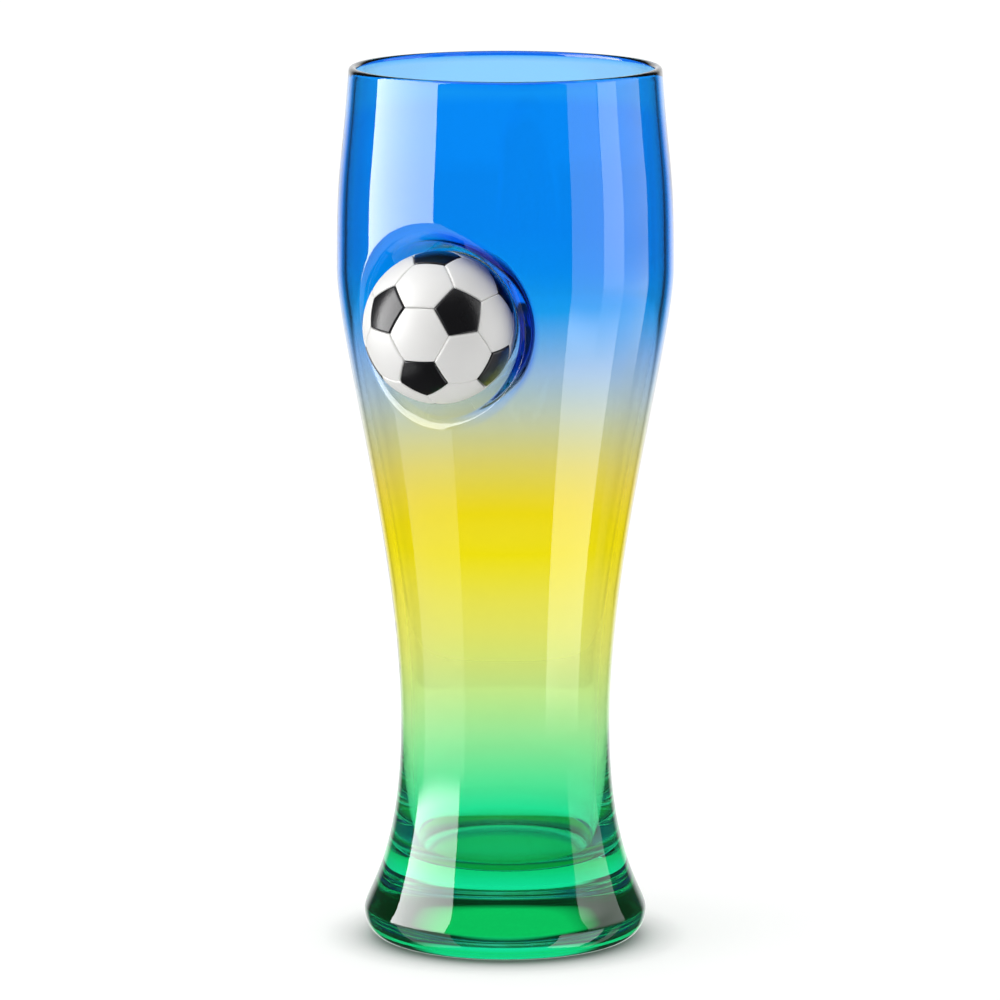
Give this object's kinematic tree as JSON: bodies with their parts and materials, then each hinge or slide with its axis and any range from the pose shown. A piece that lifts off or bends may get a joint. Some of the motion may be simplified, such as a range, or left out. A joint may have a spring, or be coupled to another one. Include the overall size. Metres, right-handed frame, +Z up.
{
  "type": "footed beer glass",
  "caption": "Tall footed beer glass with a narrow waist, a round belly and an open top, and a small black and white football bonded into a pocket in its wall.",
  "frame": {"origin": "centre of the foot's flat base, on the surface that the glass stands on", "axes": "+Z up along the axis of the glass, -Y towards the side that the ball faces, +X to the right of someone who faces the ball"},
  "size_m": [0.0806, 0.0932, 0.211],
  "materials": {
    "tinted_glass": "clear soda-lime glass, fire polished, with a sprayed see-through tint that fades from blue at the lip through yellow to green at the foot",
    "clear_adhesive": "clear cured adhesive",
    "ball_core": "plain moulded",
    "ball_black": "black, semi-gloss, faint grain",
    "ball_white": "white, semi-gloss"
  },
  "bodies": {
    "root": {"glass_body": "tinted_glass", "ball_adhesive": "clear_adhesive", "ball_core": "ball_core", "black_panel_01": "ball_black", "black_panel_02": "ball_black", "black_panel_03": "ball_black", "black_panel_04": "ball_black", "black_panel_05": "ball_black", "black_panel_06": "ball_black", "black_panel_07": "ball_black", "black_panel_08": "ball_black", "black_panel_09": "ball_black", "black_panel_10": "ball_black", "black_panel_11": "ball_black", "black_panel_12": "ball_black", "white_panel_01": "ball_white", "white_panel_02": "ball_white", "white_panel_03": "ball_white", "white_panel_04": "ball_white", "white_panel_05": "ball_white", "white_panel_06": "ball_white", "white_panel_07": "ball_white", "white_panel_08": "ball_white", "white_panel_09": "ball_white", "white_panel_10": "ball_white", "white_panel_11": "ball_white", "white_panel_12": "ball_white", "white_panel_13": "ball_white", "white_panel_14": "ball_white", "white_panel_15": "ball_white", "white_panel_16": "ball_white", "white_panel_17": "ball_white", "white_panel_18": "ball_white", "white_panel_19": "ball_white", "white_panel_20": "ball_white"}
  },
  "joints": []
}
